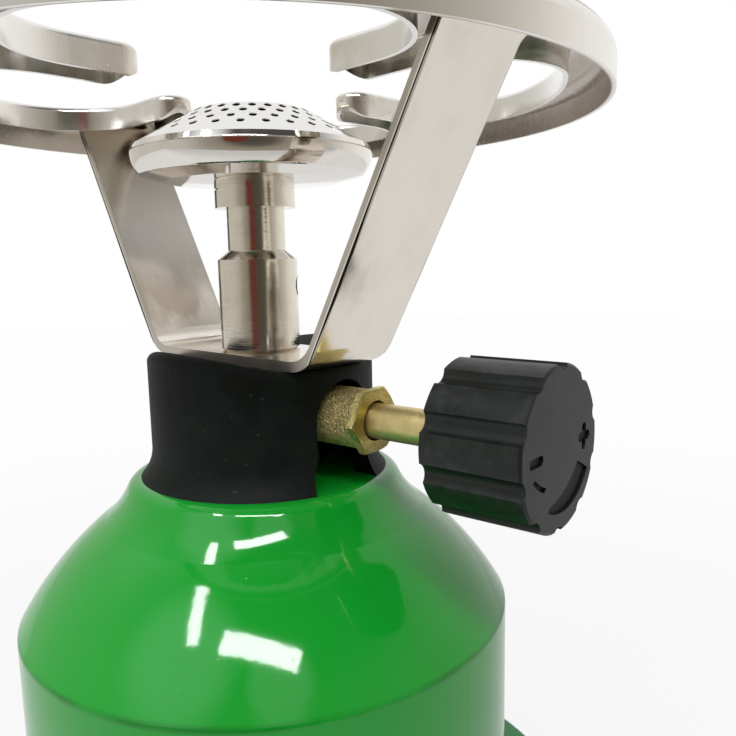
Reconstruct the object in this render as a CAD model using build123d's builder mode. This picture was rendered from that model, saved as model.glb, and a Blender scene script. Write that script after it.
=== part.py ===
from build123d import *
import os
from math import cos, radians, sin, sqrt, tan

os.makedirs("parts", exist_ok=True)

# A single-burner camping stove on a pierceable gas cartridge. Millimetres, +Z up, origin on the
# floor under the middle of the foot, +X along the valve spindle towards the control knob.

# Clearances
running_gap = 0.08  # radial, spindle in its bores
fit_gap = 0.05  # radial, screwed and pressed pieces
hole_gap = 0.2  # radial, clearance holes
moving_gap = 0.3  # pieces that move past one another
tray_gap = 0.4  # radial, housing's skirt in the foot
soft_gap = 0.25  # rubber beside a moving piece

# Foot, sizes from the tray outwards
rim_w = 16.5
base_draft = 1.0
base_h = 20.0
base_edge_r = 1.5
base_wall = 2.4
base_floor_t = 2.4
upstand_h = 7.0
upstand_t = 2.6
upstand_edge_r = 1.0
wall_bite = 0.5
boss_turn = 45.0
rib_count = 8
rib_turn = 22.5
rib_t = 2.0
rib_lift = 4.0

# Foot pads and cartridge support
pad_count = 4
pad_t = 2.0
pad_inset = 0.8
pad_stem_r = 2.2
pad_stem_h = 5.0
support_t = 2.0
support_inset = 3.0
support_w = 6.0

# Bayonet between foot and housing
lug_count = 3
lug_r = 2.0
lug_reach = 2.2
lug_drop = 3.0
slot_turn = 60.0
slot_lift = 3.0
skirt_lift = 4.6

# Cartridge, heights down from its crown
can_r = 45.0
can_h = 88.3
can_wall = 0.6
can_body_drop = 22.3
can_shoulder_drop = 4.3
can_shoulder_r = 30.0
can_shoulder_bulge = 2.4
can_crown_r = 14.0
can_chime_r = 3.0
can_dish_h = 5.0
can_foot_w = 5.0
pierce_r = 1.8

# Housing, drawn to follow the cartridge inside it
sheet_t = 0.8
can_room = 3.0
crease_rise = 4.3
crease_r = 1.0
shoulder_room = 1.5
shoulder_rise = 4.5
shoulder_bulge = 1.2
neck_in = 4.5
neck_drop = 1.8
neck_hollow = 0.4
brow_w = 2.8

# Valve body, its nut, needle and seal
shank_r = 8.0
shank_h = 3.7
nut_h = 2.8
nut_af = 22.0
washer_r = 12.0
flange_r = 11.0
flange_h = 2.5
valve_r = 9.0
spigot_r = 6.0
spigot_over_tube_foot = 7.2
inlet_r = 2.0
inlet_h = 9.0
gas_way_r = 1.0
outlet_r = 2.0
seal_r = 7.0
seal_t = 3.25
seal_recess = 1.5
needle_r = 1.5
needle_bore_r = 0.6
needle_head_h = 3.5
needle_reach = 4.5
needle_tip_h = 2.5
filter_h = 3.0

# Valve boss, gland and spindle, along +X
boss_r = 5.4
boss_x = 27.2
boss_cover = 0.83
gland_hex_t = 1.7
gland_hex_af = 11.0
gland_face_r = 5.6
gland_turn = 3.0
gland_chamfer_angle = 30.0
gland_shank_l = 5.6
gland_bore_r = 3.6
seat_x = 4.6
seat_r = 0.9
seat_open = 0.16
chamber_x = 7.0
packing_bore_x = 12.0
packing_wall = 0.95
packing_t = 2.0
spindle_r = 3.155
spindle_cone_l = 2.6
o_ring_x = 14.0
o_ring_section_r = 0.8
spindle_flat = 2.2
spindle_flat_l = 10.0

# Knob
knob_back_x = 46.8
knob_l = 16.7
knob_r = 12.8
knob_cap_t = 6.0
flute_count = 10
flute_first = 16.0
flute_depth = 1.0
flute_r = 1.9
knob_bevel = 0.4
knob_wall = 2.8
knob_recess_l = 9.0
knob_hub_wall = 2.445
mark_depth = 0.5
mark_inset = 4.7
mark_l = 4.3
mark_w = 1.5
plus_angle = 3.0
minus_angle = 181.5
wedge_angles = (-116.0, -77.0, -27.0)
wedge_outer_in = (3.2, 2.85, 1.8)
wedge_inner_in = (3.9, 6.2, 6.2)
tick_angles = (-162.5, -153.0, -136.0)
tick_in = (3.05, 3.9, 5.2)
tick_w = 0.9

# Collar
collar_h = 22.0
collar_set = 2.3
collar_flare = 2.4
collar_flare_h = 6.0
collar_waist = 0.55
collar_wall = 3.1
collar_roof_t = 3.0
collar_side_rise = 3.3
channel_half_w = 9.8
channel_rise_end = 21.0
channel_bend_r = 3.0
collar_edge_r = 1.8
notch_r = 6.8
notch_spread = 2.2

# Pot bracket
bracket_azimuth = -5.25
stand_h = 53.8
strip_w = 18.5
strip_t = 1.8
arm_foot_u = 23.73
arm_bend_r = 7.1
tab_bend_r = 3.9
tab_inset = 4.6
tab_l = 7.65

# Pot ring
ring_t = 0.8
ring_r = 65.6
ring_w = 8.5
ring_edge_r = 3.5
ring_band_h = 7.9
ring_flange_h = 5.1
ring_lip_r = 1.2
finger_count = 4
finger_w = 8.4
finger_clear = 1.05
finger_root_r = 15.5
finger_corner_lift = 0.3
finger_swept_in = 5.5
rivet_r = 1.5
rivet_head_r = 2.2
rivet_inset = 3.2
rivet_head_t = 1.0
rivet_spread = 10.0

# Burner
tube_wall = 1.65
tube_foot_h = 17.5
tube_step_h = 1.7
tube_neck_in = 2.1
tube_neck_h = 8.0
tube_top_r = 5.0
tube_bore_r = 4.0
tube_foot_chamfer = 0.5
tube_lip_w = 1.6
tube_lip_t = 0.8
air_hole_r = 2.0
air_hole_rise = 12.2
air_hole_azimuth = 41.0
ferrule_h = 4.5
ferrule_line_h = 3.3
ferrule_line_w = 0.3
jet_hex_af = 7.0
jet_hex_h = 2.2
jet_thread_l = 4.0
jet_tip_r = 2.4
jet_tip_h = 1.6
jet_tip_angle = 20.0
jet_orifice_r = 0.3
head_t = 0.6
bowl_r = 22.75
bowl_floor_in = 6.25
bowl_floor_rise = 0.4
bowl_floor_bend_r = 1.2
bowl_band_in = 1.6
bowl_band_h = 1.5
bowl_band_bend_r = 0.8
bowl_wall_h = 3.4
bowl_wall_bend_r = 5.5
bowl_lip_h = 5.6
seam_in = 0.55
seam_h = 6.63
dome_cone_angle = 30.0
dome_cone_in = 11.25
dome_shoulder_r = 3.7
dome_crown_angle = 8.0
dome_hole_r = 0.7
dome_rows = ((18.65, 28), (16.4, 28), (14.15, 28), (12.1, 28), (9.6, 21), (7.1, 14), (4.7, 10), (2.4, 5))
dome_row_start = -48.4

# Radii and heights that follow from the sizes above
housing_r = can_r + can_room
upstand_r = housing_r + tray_gap
upstand_outer_r = upstand_r + upstand_t
base_r = upstand_outer_r + rim_w
pad_circle_r = (upstand_outer_r + base_r - base_draft - base_wall) / 2
shoulder_r = can_shoulder_r + shoulder_room
neck_r = shoulder_r - neck_in
top_flat_r = neck_r - brow_w
collar_r = top_flat_r - collar_set
collar_flare_r = collar_r + collar_flare
packing_bore_r = boss_r - packing_wall
knob_front_x = knob_back_x + knob_l
spindle_end_x = knob_front_x - knob_cap_t
tube_r = spigot_r + tube_wall
tube_neck_r = tube_r - tube_neck_in
seam_r = bowl_r - seam_in
opening_r = ring_r - ring_w
finger_tip_r = bowl_r + finger_clear
tab_end_u = ring_r - tab_inset

floor_top_z = pad_t + base_floor_t
deck_z = pad_t + base_h
lug_z = deck_z - lug_drop
skirt_foot_z = floor_top_z + skirt_lift
can_foot_z = floor_top_z + support_t + moving_gap
can_top_z = can_foot_z + can_h
can_body_z = can_top_z - can_body_drop
can_shoulder_z = can_top_z - can_shoulder_drop
crease_z = can_body_z + crease_rise
shoulder_z = can_shoulder_z + shoulder_rise
valve_foot_z = can_top_z + soft_gap + seal_t
housing_top_z = valve_foot_z + shank_h + sheet_t
neck_z = housing_top_z - neck_drop
strip_foot_z = housing_top_z + collar_h
valve_top_z = strip_foot_z - collar_roof_t
valve_z = valve_top_z - boss_cover - boss_r
tube_foot_z = strip_foot_z + strip_t
spigot_top_z = tube_foot_z + spigot_over_tube_foot
air_hole_z = tube_foot_z + air_hole_rise
tube_step_z = tube_foot_z + tube_foot_h + tube_step_h
ferrule_z = tube_step_z + tube_neck_h
bowl_z = ferrule_z + ferrule_h
seam_z = bowl_z + seam_h
ring_top_z = strip_foot_z + stand_h

upright = Plane.XZ
valve_axis = Axis((0, 0, valve_z), (1, 0, 0))
along_valve = Plane(origin=(0, 0, valve_z), x_dir=(1, 0, 0), z_dir=(0, -1, 0))
across_bracket = Plane.XZ.rotated((0, 0, bracket_azimuth))


def section(points, plane=upright):
    """Closed polygon through (radius, height) points, drawn on an upright plane."""
    with BuildSketch(plane) as profile:
        with BuildLine():
            Polyline(*points, close=True)
        make_face()
    return profile.sketch


def tube_section(inner_r, outer_r, low, high, plane=upright):
    """Rectangle between two radii, or two places along the valve axis and two radii."""
    return section(((inner_r, low), (outer_r, low), (outer_r, high), (inner_r, high)), plane)


def polar(r, angle):
    return (r * cos(radians(angle)), r * sin(radians(angle)))


def valve_plane(x):
    """Plane square to the valve axis: local x is +Y, local y is +Z."""
    return Plane(origin=(x, 0, valve_z), x_dir=(0, 1, 0), z_dir=(1, 0, 0))


def finish(piece, name):
    piece.part.label = name
    export_step(piece.part, f"parts/{name}.step")


# Moulded foot: a tray for the cartridge with a deck and a drafted rim round it, hollow underneath
rim_inner_r = base_r - base_wall
rim_top_r = base_r - base_draft
with BuildPart() as base_foot:
    with BuildSketch(upright) as foot_profile:
        with BuildLine():
            Polyline(
                (0, pad_t),
                (upstand_outer_r, pad_t),
                (upstand_outer_r, deck_z - base_wall),
                (rim_top_r - base_wall, deck_z - base_wall),
                (rim_inner_r, pad_t),
                (base_r, pad_t),
                (rim_top_r, deck_z),
                (upstand_outer_r, deck_z),
                (upstand_outer_r, deck_z + upstand_h),
                (upstand_r, deck_z + upstand_h),
                (upstand_r, floor_top_z),
                (0, floor_top_z),
                close=True,
            )
        make_face()
        rim_edge = foot_profile.vertices().sort_by_distance((rim_top_r, deck_z))[0]
        fillet(rim_edge, radius=base_edge_r)
        upstand_edges = foot_profile.vertices().group_by(Axis.Y)[-1]
        fillet(upstand_edges, radius=upstand_edge_r)
    revolve(axis=Axis.Z)
    hollow_w = rim_inner_r - upstand_outer_r
    foot_boss_r = hollow_w / 2 + wall_bite
    with BuildSketch(Plane.XY.offset(pad_t)):
        with PolarLocations(pad_circle_r, pad_count, start_angle=boss_turn):
            Circle(foot_boss_r)
    extrude(amount=base_h - wall_bite)
    with BuildSketch(Plane.XY.offset(pad_t + rib_lift)):
        with PolarLocations(pad_circle_r, rib_count, start_angle=rib_turn):
            Rectangle(hollow_w + 2 * wall_bite, rib_t)
    extrude(amount=base_h - wall_bite - rib_lift)
    with BuildSketch(Plane.XY.offset(pad_t)):
        with PolarLocations(pad_circle_r, pad_count, start_angle=boss_turn):
            Circle(pad_stem_r + fit_gap)
    extrude(amount=pad_stem_h + fit_gap, mode=Mode.SUBTRACT)
    lug_face_r = upstand_r - lug_reach
    for k in range(lug_count):
        lug_turn = 360 / lug_count * k
        lug_plane = Plane(
            origin=(*polar(lug_face_r, lug_turn), lug_z),
            z_dir=(*polar(1, lug_turn), 0),
        )
        with BuildSketch(lug_plane):
            Circle(lug_r)
        extrude(amount=lug_reach + upstand_t / 2)
finish(base_foot, "base_foot")

# Rubber pads, each held by a stem in a boss of the foot
with BuildPart() as foot_pads:
    with BuildSketch():
        with PolarLocations(pad_circle_r, pad_count, start_angle=boss_turn):
            Circle(hollow_w / 2 - pad_inset)
    extrude(amount=pad_t)
    with BuildSketch(Plane.XY.offset(pad_t)):
        with PolarLocations(pad_circle_r, pad_count, start_angle=boss_turn):
            Circle(pad_stem_r)
    extrude(amount=pad_stem_h)
finish(foot_pads, "foot_pads")

# Rubber ring that the cartridge stands on
support_r = can_r - support_inset
with BuildPart() as support_ring:
    revolve(tube_section(support_r - support_w, support_r, floor_top_z, floor_top_z + support_t), Axis.Z)
finish(support_ring, "support_ring")

# Drawn steel cartridge, one closed wall with the pierced hole in its crown
can_dish_r = can_r - can_foot_w
with BuildPart() as cartridge:
    with BuildSketch(upright):
        with BuildLine():
            dish_mid = (can_dish_r / 2, can_foot_z + can_dish_h / 2)
            dish_top = TangentArc((0, can_foot_z + can_dish_h), dish_mid, tangent=(1, 0))
            dish = TangentArc(dish_top @ 1, (can_dish_r, can_foot_z), tangent=dish_top % 1)
            foot = Line(dish @ 1, (can_r - can_chime_r, can_foot_z))
            chime = TangentArc(foot @ 1, (can_r, can_foot_z + can_chime_r), tangent=foot % 1)
            side = Line(chime @ 1, (can_r, can_body_z))
            shoulder_end = (can_shoulder_r, can_shoulder_z)
            SagittaArc(side @ 1, shoulder_end, -can_shoulder_bulge)
            Polyline(shoulder_end, (can_crown_r, can_top_z), (0, can_top_z))
            mirror(about=Plane.YZ)
        make_face()
        offset(amount=-can_wall, kind=Kind.INTERSECTION, mode=Mode.SUBTRACT)
        split(bisect_by=Plane.YZ)
        with Locations((pierce_r / 2, can_top_z)):
            Rectangle(pierce_r, 4 * can_wall, mode=Mode.SUBTRACT)
    revolve(axis=Axis.Z)
finish(cartridge, "cartridge")

# Enamelled steel housing: skirt, crease, domed shoulder, hollow neck and a flat top
with BuildPart() as housing:
    with BuildSketch(upright) as housing_profile:
        with BuildLine():
            skirt = Line((housing_r, skirt_foot_z), (housing_r, crease_z))
            shoulder = SagittaArc(skirt @ 1, (shoulder_r, shoulder_z), -shoulder_bulge)
            neck = SagittaArc(shoulder @ 1, (neck_r, neck_z), neck_hollow)
            brow = TangentArc(neck @ 1, (top_flat_r, housing_top_z), tangent=neck % 1)
            Line(brow @ 1, (shank_r + hole_gap, housing_top_z))
            offset(amount=sheet_t, side=Side.LEFT)
        make_face()
        crease = housing_profile.vertices().sort_by_distance((housing_r, crease_z))[0]
        fillet(crease, radius=crease_r)
    revolve(axis=Axis.Z)
    # Each bayonet slot climbs with the turn, then drops straight to the skirt's foot
    slot_half = lug_r + moving_gap
    skirt_mid_r = housing_r - sheet_t / 2
    for k in range(lug_count):
        lug_turn = 360 / lug_count * k
        with BuildLine():
            climb = Helix(
                pitch=slot_lift * 360 / slot_turn,
                height=slot_lift,
                radius=skirt_mid_r,
                center=(0, 0, lug_z - slot_lift),
            )
        slot_path = climb.rotate(Axis.Z, lug_turn - slot_turn)
        with BuildSketch(Plane(origin=slot_path @ 0, x_dir=(0, 0, 1), z_dir=slot_path % 0)):
            Rectangle(2 * slot_half, 4 * sheet_t)
        sweep(path=slot_path, is_frenet=True, mode=Mode.SUBTRACT)
        for turn, rise in ((lug_turn, 0), (lug_turn - slot_turn, -slot_lift)):
            slot_end = Plane(
                origin=(*polar(skirt_mid_r, turn), lug_z + rise),
                z_dir=(*polar(1, turn), 0),
            )
            with BuildSketch(slot_end):
                Circle(slot_half)
            extrude(amount=2 * sheet_t, both=True, mode=Mode.SUBTRACT)
        entry = Plane(
            origin=(*polar(skirt_mid_r, lug_turn - slot_turn), 0),
            x_dir=(*polar(1, lug_turn - slot_turn + 90), 0),
            z_dir=(*polar(1, lug_turn - slot_turn), 0),
        )
        with BuildSketch(entry):
            with Locations((0, (lug_z - slot_lift) / 2)):
                Rectangle(2 * slot_half, lug_z - slot_lift)
        extrude(amount=2 * sheet_t, both=True, mode=Mode.SUBTRACT)
finish(housing, "housing")

# Brass valve body: flanged through the housing's top, with a spigot for the burner and a boss
inlet_top_z = valve_foot_z + seal_recess + inlet_h
flange_top_z = housing_top_z + flange_h
with BuildPart() as valve_body:
    revolve(
        section(
            (
                (0, valve_foot_z),
                (shank_r, valve_foot_z),
                (shank_r, housing_top_z),
                (flange_r, housing_top_z),
                (flange_r, flange_top_z),
                (valve_r, flange_top_z),
                (valve_r, valve_top_z),
                (spigot_r, valve_top_z),
                (spigot_r, spigot_top_z),
                (0, spigot_top_z),
            )
        ),
        Axis.Z,
    )
    revolve(tube_section(0, boss_x, 0, boss_r, along_valve), valve_axis)
    revolve(tube_section(0, seal_r, valve_foot_z, valve_foot_z + seal_recess), Axis.Z, mode=Mode.SUBTRACT)
    revolve(tube_section(0, inlet_r, valve_foot_z + seal_recess, inlet_top_z), Axis.Z, mode=Mode.SUBTRACT)
    revolve(tube_section(0, gas_way_r, inlet_top_z, valve_z), Axis.Z, mode=Mode.SUBTRACT)
    # Bores along the spindle: gas way to the seat, cone, spindle bore, packing chamber
    spindle_bore_r = spindle_r + running_gap
    revolve(
        section(
            (
                (0, 0),
                (0, seat_r),
                (seat_x, seat_r),
                (chamber_x, spindle_bore_r),
                (packing_bore_x, spindle_bore_r),
                (packing_bore_x, packing_bore_r),
                (boss_x, packing_bore_r),
                (boss_x, 0),
            ),
            along_valve,
        ),
        valve_axis,
        mode=Mode.SUBTRACT,
    )
    # Outlet: down from the spigot's mouth, then slanting into the spindle bore past the seat
    outlet_foot_z = valve_top_z + gas_way_r
    revolve(tube_section(0, outlet_r, outlet_foot_z, spigot_top_z), Axis.Z, mode=Mode.SUBTRACT)
    outlet_start = Vector(chamber_x + gas_way_r, 0, valve_z)
    outlet_run = Vector(0, 0, outlet_foot_z + gas_way_r) - outlet_start
    with BuildSketch(Plane(origin=outlet_start, z_dir=outlet_run)):
        Circle(gas_way_r)
    extrude(amount=outlet_run.length, mode=Mode.SUBTRACT)
finish(valve_body, "valve_body")

# Steel washer and brass lock nut that clamp the valve body to the housing
nut_foot_z = valve_foot_z + fit_gap
with BuildPart() as lock_nut:
    with BuildSketch(Plane.XY.offset(nut_foot_z)):
        RegularPolygon(nut_af / 2, 6, major_radius=False)
        Circle(shank_r + fit_gap, mode=Mode.SUBTRACT)
    extrude(amount=nut_h)
finish(lock_nut, "lock_nut")

with BuildPart() as lock_washer:
    washer_foot_z = nut_foot_z + nut_h
    washer_bore_r = shank_r + hole_gap
    revolve(tube_section(washer_bore_r, washer_r, washer_foot_z, housing_top_z - sheet_t), Axis.Z)
finish(lock_washer, "lock_washer")

# Hollow steel needle that pierces the cartridge; its head sits in the valve's inlet bore
needle_seat_z = valve_foot_z + seal_recess
needle_tip_z = can_top_z - needle_reach
head_r = inlet_r - fit_gap
with BuildPart() as piercing_needle:
    revolve(
        section(
            (
                (needle_bore_r, needle_tip_z),
                (needle_r, needle_tip_z + needle_tip_h),
                (needle_r, needle_seat_z),
                (head_r, needle_seat_z),
                (head_r, needle_seat_z + needle_head_h),
                (needle_bore_r, needle_seat_z + needle_head_h),
            )
        ),
        Axis.Z,
    )
finish(piercing_needle, "piercing_needle")

with BuildPart() as gas_filter:
    filter_foot_z = needle_seat_z + needle_head_h
    revolve(tube_section(0, head_r, filter_foot_z, filter_foot_z + filter_h), Axis.Z)
finish(gas_filter, "gas_filter")

# Rubber seal in the valve's foot, just clear of the cartridge's crown
with BuildPart() as cartridge_seal:
    seal_bore_r = needle_r + hole_gap
    seal_outer_r = seal_r - fit_gap
    revolve(tube_section(seal_bore_r, seal_outer_r, valve_foot_z - seal_t, needle_seat_z), Axis.Z)
finish(cartridge_seal, "cartridge_seal")

# Rubber O-ring in the spindle's groove
o_ring_r = packing_bore_r - 2 * running_gap - o_ring_section_r
with BuildPart() as spindle_o_ring:
    with BuildSketch(along_valve):
        with Locations((o_ring_x, o_ring_r)):
            Circle(o_ring_section_r)
    revolve(axis=valve_axis)
finish(spindle_o_ring, "spindle_o_ring")

# Brass spindle: cone that closes the seat, O-ring groove, and a flatted end for the knob
groove_r = o_ring_r - o_ring_section_r - running_gap
groove_half = o_ring_section_r + running_gap
with BuildPart() as spindle:
    revolve(
        section(
            (
                (seat_x + seat_open, 0),
                (seat_x + seat_open, seat_r - running_gap),
                (seat_x + seat_open + spindle_cone_l, spindle_r),
                (o_ring_x - groove_half, spindle_r),
                (o_ring_x - groove_half, groove_r),
                (o_ring_x + groove_half, groove_r),
                (o_ring_x + groove_half, spindle_r),
                (spindle_end_x, spindle_r),
                (spindle_end_x, 0),
            ),
            along_valve,
        ),
        valve_axis,
    )
    with BuildSketch(valve_plane(spindle_end_x)):
        with Locations((0, spindle_flat + spindle_r)):
            Rectangle(4 * spindle_r, 2 * spindle_r)
    extrude(amount=-spindle_flat_l, mode=Mode.SUBTRACT)
finish(spindle, "spindle")

# Packing washer behind the gland nut, and the gland nut with its chamfered hexagon
gland_shank_x = boss_x - gland_shank_l
with BuildPart() as gland_packing:
    packing_r = packing_bore_r - fit_gap
    revolve(
        tube_section(gland_shank_x - packing_t, gland_shank_x, spindle_bore_r, packing_r, along_valve),
        valve_axis,
    )
finish(gland_packing, "gland_packing")

with BuildPart() as gland_nut:
    gland_front_x = boss_x + gland_hex_t
    gland_corner_r = gland_hex_af / sqrt(3)
    chamfer_x = gland_front_x - (gland_corner_r - gland_face_r) * tan(radians(gland_chamfer_angle))
    with BuildSketch(valve_plane(boss_x)):
        RegularPolygon(gland_hex_af / 2, 6, major_radius=False, rotation=gland_turn)
    extrude(amount=gland_hex_t)
    revolve(
        section(
            (
                (chamfer_x, gland_corner_r),
                (gland_front_x, gland_face_r),
                (gland_front_x, 2 * gland_corner_r),
                (chamfer_x, 2 * gland_corner_r),
            ),
            along_valve,
        ),
        valve_axis,
        mode=Mode.SUBTRACT,
    )
    revolve(tube_section(gland_shank_x, boss_x, 0, packing_r, along_valve), valve_axis)
    with BuildSketch(valve_plane(gland_shank_x)):
        Circle(gland_bore_r)
    extrude(amount=gland_front_x - gland_shank_x, mode=Mode.SUBTRACT)
finish(gland_nut, "gland_nut")

# Moulded knob: narrow flutes along it, a hollow back round a hub, engraved marks
knob_bore_r = spindle_r + fit_gap
with BuildPart() as knob:
    with BuildSketch(valve_plane(knob_back_x)):
        Circle(knob_r)
    extrude(amount=knob_l)
    chamfer(knob.edges().group_by(Axis.X)[-1], length=knob_bevel)
    with BuildSketch(valve_plane(knob_back_x)):
        with PolarLocations(knob_r - flute_depth + flute_r, flute_count, start_angle=flute_first):
            Circle(flute_r)
    extrude(amount=knob_l, mode=Mode.SUBTRACT)
    with BuildSketch(valve_plane(knob_back_x)):
        Circle(knob_r - knob_wall)
        Circle(spindle_r + knob_hub_wall, mode=Mode.SUBTRACT)
    extrude(amount=knob_recess_l, mode=Mode.SUBTRACT)
    with BuildSketch(valve_plane(knob_back_x)):
        Circle(knob_bore_r)
    extrude(amount=spindle_end_x - spindle_flat_l - knob_back_x + fit_gap, mode=Mode.SUBTRACT)
    with BuildSketch(valve_plane(knob_back_x)):
        Circle(knob_bore_r)
        with Locations((0, spindle_flat + fit_gap + spindle_r)):
            Rectangle(4 * spindle_r, 2 * spindle_r, mode=Mode.SUBTRACT)
    extrude(amount=spindle_end_x + fit_gap - knob_back_x, mode=Mode.SUBTRACT)
    mark_ring_r = knob_r - mark_inset
    with BuildSketch(valve_plane(knob_front_x)):
        with Locations(polar(mark_ring_r, plus_angle), polar(mark_ring_r, minus_angle)):
            SlotOverall(mark_l, mark_w)
        with Locations(polar(mark_ring_r, plus_angle)):
            SlotOverall(mark_l, mark_w, rotation=90)
        with BuildLine():
            wedge_outer = [polar(knob_r - inset, turn) for inset, turn in zip(wedge_outer_in, wedge_angles)]
            wedge_inner = [polar(knob_r - inset, turn) for inset, turn in zip(wedge_inner_in, wedge_angles)]
            outer = ThreePointArc(*wedge_outer)
            inner = ThreePointArc(*wedge_inner)
            Line(outer @ 0, inner @ 0)
            Line(outer @ 1, inner @ 1)
        make_face()
        with BuildLine():
            tick_outer = [polar(knob_r - inset, turn) for inset, turn in zip(tick_in, tick_angles)]
            tick_inner = [polar(knob_r - inset - tick_w, turn) for inset, turn in zip(tick_in, tick_angles)]
            tick_out = ThreePointArc(*tick_outer)
            tick_back = ThreePointArc(*tick_inner)
            Line(tick_out @ 0, tick_back @ 0)
            Line(tick_out @ 1, tick_back @ 1)
        make_face()
    extrude(amount=-mark_depth, mode=Mode.SUBTRACT)
finish(knob, "knob")


# Rubber collar: flared foot, roof with the strip's channel across it, arched notch for the boss
channel_slope = collar_side_rise / (channel_rise_end - channel_half_w)
channel_w = 2 * collar_flare_r
channel_rise = (channel_w - channel_half_w) * channel_slope
with BuildPart() as collar:
    with BuildSketch(upright):
        with BuildLine():
            uncut_z = strip_foot_z + channel_rise
            foot = Line((0, housing_top_z), (collar_flare_r, housing_top_z))
            flare_waist = (collar_r + collar_waist, housing_top_z + collar_flare_h / 2)
            flare_end = (collar_r, housing_top_z + collar_flare_h)
            ThreePointArc(foot @ 1, flare_waist, flare_end)
            Polyline(flare_end, (collar_r, uncut_z), (0, uncut_z), foot @ 0)
        make_face()
    revolve(axis=Axis.Z)
    # Channel: flat under the strip, its sides climbing to the rim in one soft curve
    channel_plane = Plane(
        origin=(0, 0, strip_foot_z),
        x_dir=(*polar(1, bracket_azimuth + 90), 0),
        z_dir=(*polar(1, bracket_azimuth), 0),
    )
    with BuildSketch(channel_plane):
        with BuildLine():
            FilletPolyline(
                (-channel_w, channel_rise),
                (-channel_half_w, 0),
                (channel_half_w, 0),
                (channel_w, channel_rise),
                radius=channel_bend_r,
            )
            Polyline(
                (channel_w, channel_rise),
                (channel_w, 2 * channel_rise),
                (-channel_w, 2 * channel_rise),
                (-channel_w, channel_rise),
            )
        make_face()
    extrude(amount=channel_w, both=True, mode=Mode.SUBTRACT)
    rim_edges = collar.edges().filter_by(
        lambda edge: (edge @ 0.5).Z > strip_foot_z - fit_gap
        and Vector((edge @ 0.5).X, (edge @ 0.5).Y).length > collar_r - fit_gap
    )
    fillet(rim_edges, radius=collar_edge_r)
    cavity_r = collar_r - collar_wall
    revolve(tube_section(0, cavity_r, housing_top_z, valve_top_z), Axis.Z, mode=Mode.SUBTRACT)
    revolve(tube_section(0, spigot_r + hole_gap, housing_top_z, uncut_z), Axis.Z, mode=Mode.SUBTRACT)
    # Notch: an arch over the boss, spread on its -Y side where the collar flares
    notch_foot = housing_top_z - valve_z
    with BuildSketch(valve_plane(cavity_r - collar_wall)):
        Circle(notch_r)
        with BuildLine():
            Polyline(
                (-notch_r, 0),
                (notch_r, 0),
                (notch_r, notch_foot),
                (-notch_r - notch_spread, notch_foot),
                (-notch_r, notch_foot + collar_flare_h),
                close=True,
            )
        make_face()
    extrude(amount=collar_flare_r, mode=Mode.SUBTRACT)
finish(collar, "collar")

# U-shaped nickelled strip: flat base on the collar, two leaning arms, tabs under the pot ring
strip_mid_z = strip_foot_z + strip_t / 2
tab_mid_z = ring_top_z - ring_t - strip_t / 2
tab_corner_u = tab_end_u - tab_l
with BuildPart() as pot_bracket:
    with BuildSketch(across_bracket):
        with BuildLine():
            FilletPolyline(
                (-tab_end_u, tab_mid_z),
                (-tab_corner_u, tab_mid_z),
                (-arm_foot_u, strip_mid_z),
                (arm_foot_u, strip_mid_z),
                (tab_corner_u, tab_mid_z),
                (tab_end_u, tab_mid_z),
                radius=[tab_bend_r, arm_bend_r, arm_bend_r, tab_bend_r],
            )
            offset(amount=strip_t / 2, side=Side.BOTH, kind=Kind.INTERSECTION)
        make_face()
    extrude(amount=strip_w / 2, both=True)
    with BuildSketch(Plane.XY.offset(strip_foot_z)):
        Circle(spigot_r + hole_gap)
    extrude(amount=strip_t, mode=Mode.SUBTRACT)
    rivet_u = tab_end_u - rivet_inset
    rivet_places = [(side * rivet_u, edge * rivet_spread / 2) for side in (-1, 1) for edge in (-1, 1)]
    with BuildSketch(Plane.XY.offset(tab_mid_z - strip_t / 2).rotated((0, 0, bracket_azimuth))):
        with Locations(*rivet_places):
            Circle(rivet_r + fit_gap)
    extrude(amount=strip_t, mode=Mode.SUBTRACT)
finish(pot_bracket, "pot_bracket")

# Rivets that hold the pot ring to the tabs, their heads sunk flush into the ring's top
tab_foot_z = tab_mid_z - strip_t / 2
turned_to_bracket = (0, 0, bracket_azimuth)
with BuildPart() as ring_rivets:
    with BuildSketch(Plane.XY.offset(tab_foot_z).rotated(turned_to_bracket)):
        with Locations(*rivet_places):
            Circle(rivet_r)
    extrude(amount=ring_top_z - tab_foot_z)
    with BuildSketch(Plane.XY.offset(tab_foot_z - rivet_head_t).rotated(turned_to_bracket)):
        with Locations(*rivet_places):
            Circle(rivet_head_r)
    extrude(amount=rivet_head_t)
    chamfer(ring_rivets.edges().group_by(Axis.Z)[0], length=rivet_head_t / 2)
finish(ring_rivets, "ring_rivets")

# Pressed pot ring: rounded outer edge, four fingers, a turned-down flange round the opening
finger_half = finger_w / 2
root_v = finger_half + finger_root_r
root_u = sqrt((opening_r - finger_root_r) ** 2 - root_v**2)
root_end = Vector(root_u, root_v).normalized() * opening_r
with BuildSketch() as finger:
    with BuildLine():
        tip = ThreePointArc(
            (finger_tip_r + finger_half, finger_half),
            (finger_tip_r, 0),
            (finger_tip_r + finger_half, -finger_half),
        )
        upper = Line(tip @ 0, (root_u, finger_half))
        lower = Line(tip @ 1, (root_u, -finger_half))
        upper_root = TangentArc(upper @ 1, (root_end.X, root_end.Y), tangent=upper % 1)
        lower_root = TangentArc(lower @ 1, (root_end.X, -root_end.Y), tangent=lower % 1)
        ThreePointArc(lower_root @ 1, (opening_r, 0), upper_root @ 1)
    make_face()

with BuildSketch() as ring_outline:
    Circle(ring_r)
    Circle(opening_r, mode=Mode.SUBTRACT)
    with PolarLocations(0, finger_count, start_angle=bracket_azimuth):
        add(finger.sketch)

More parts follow.
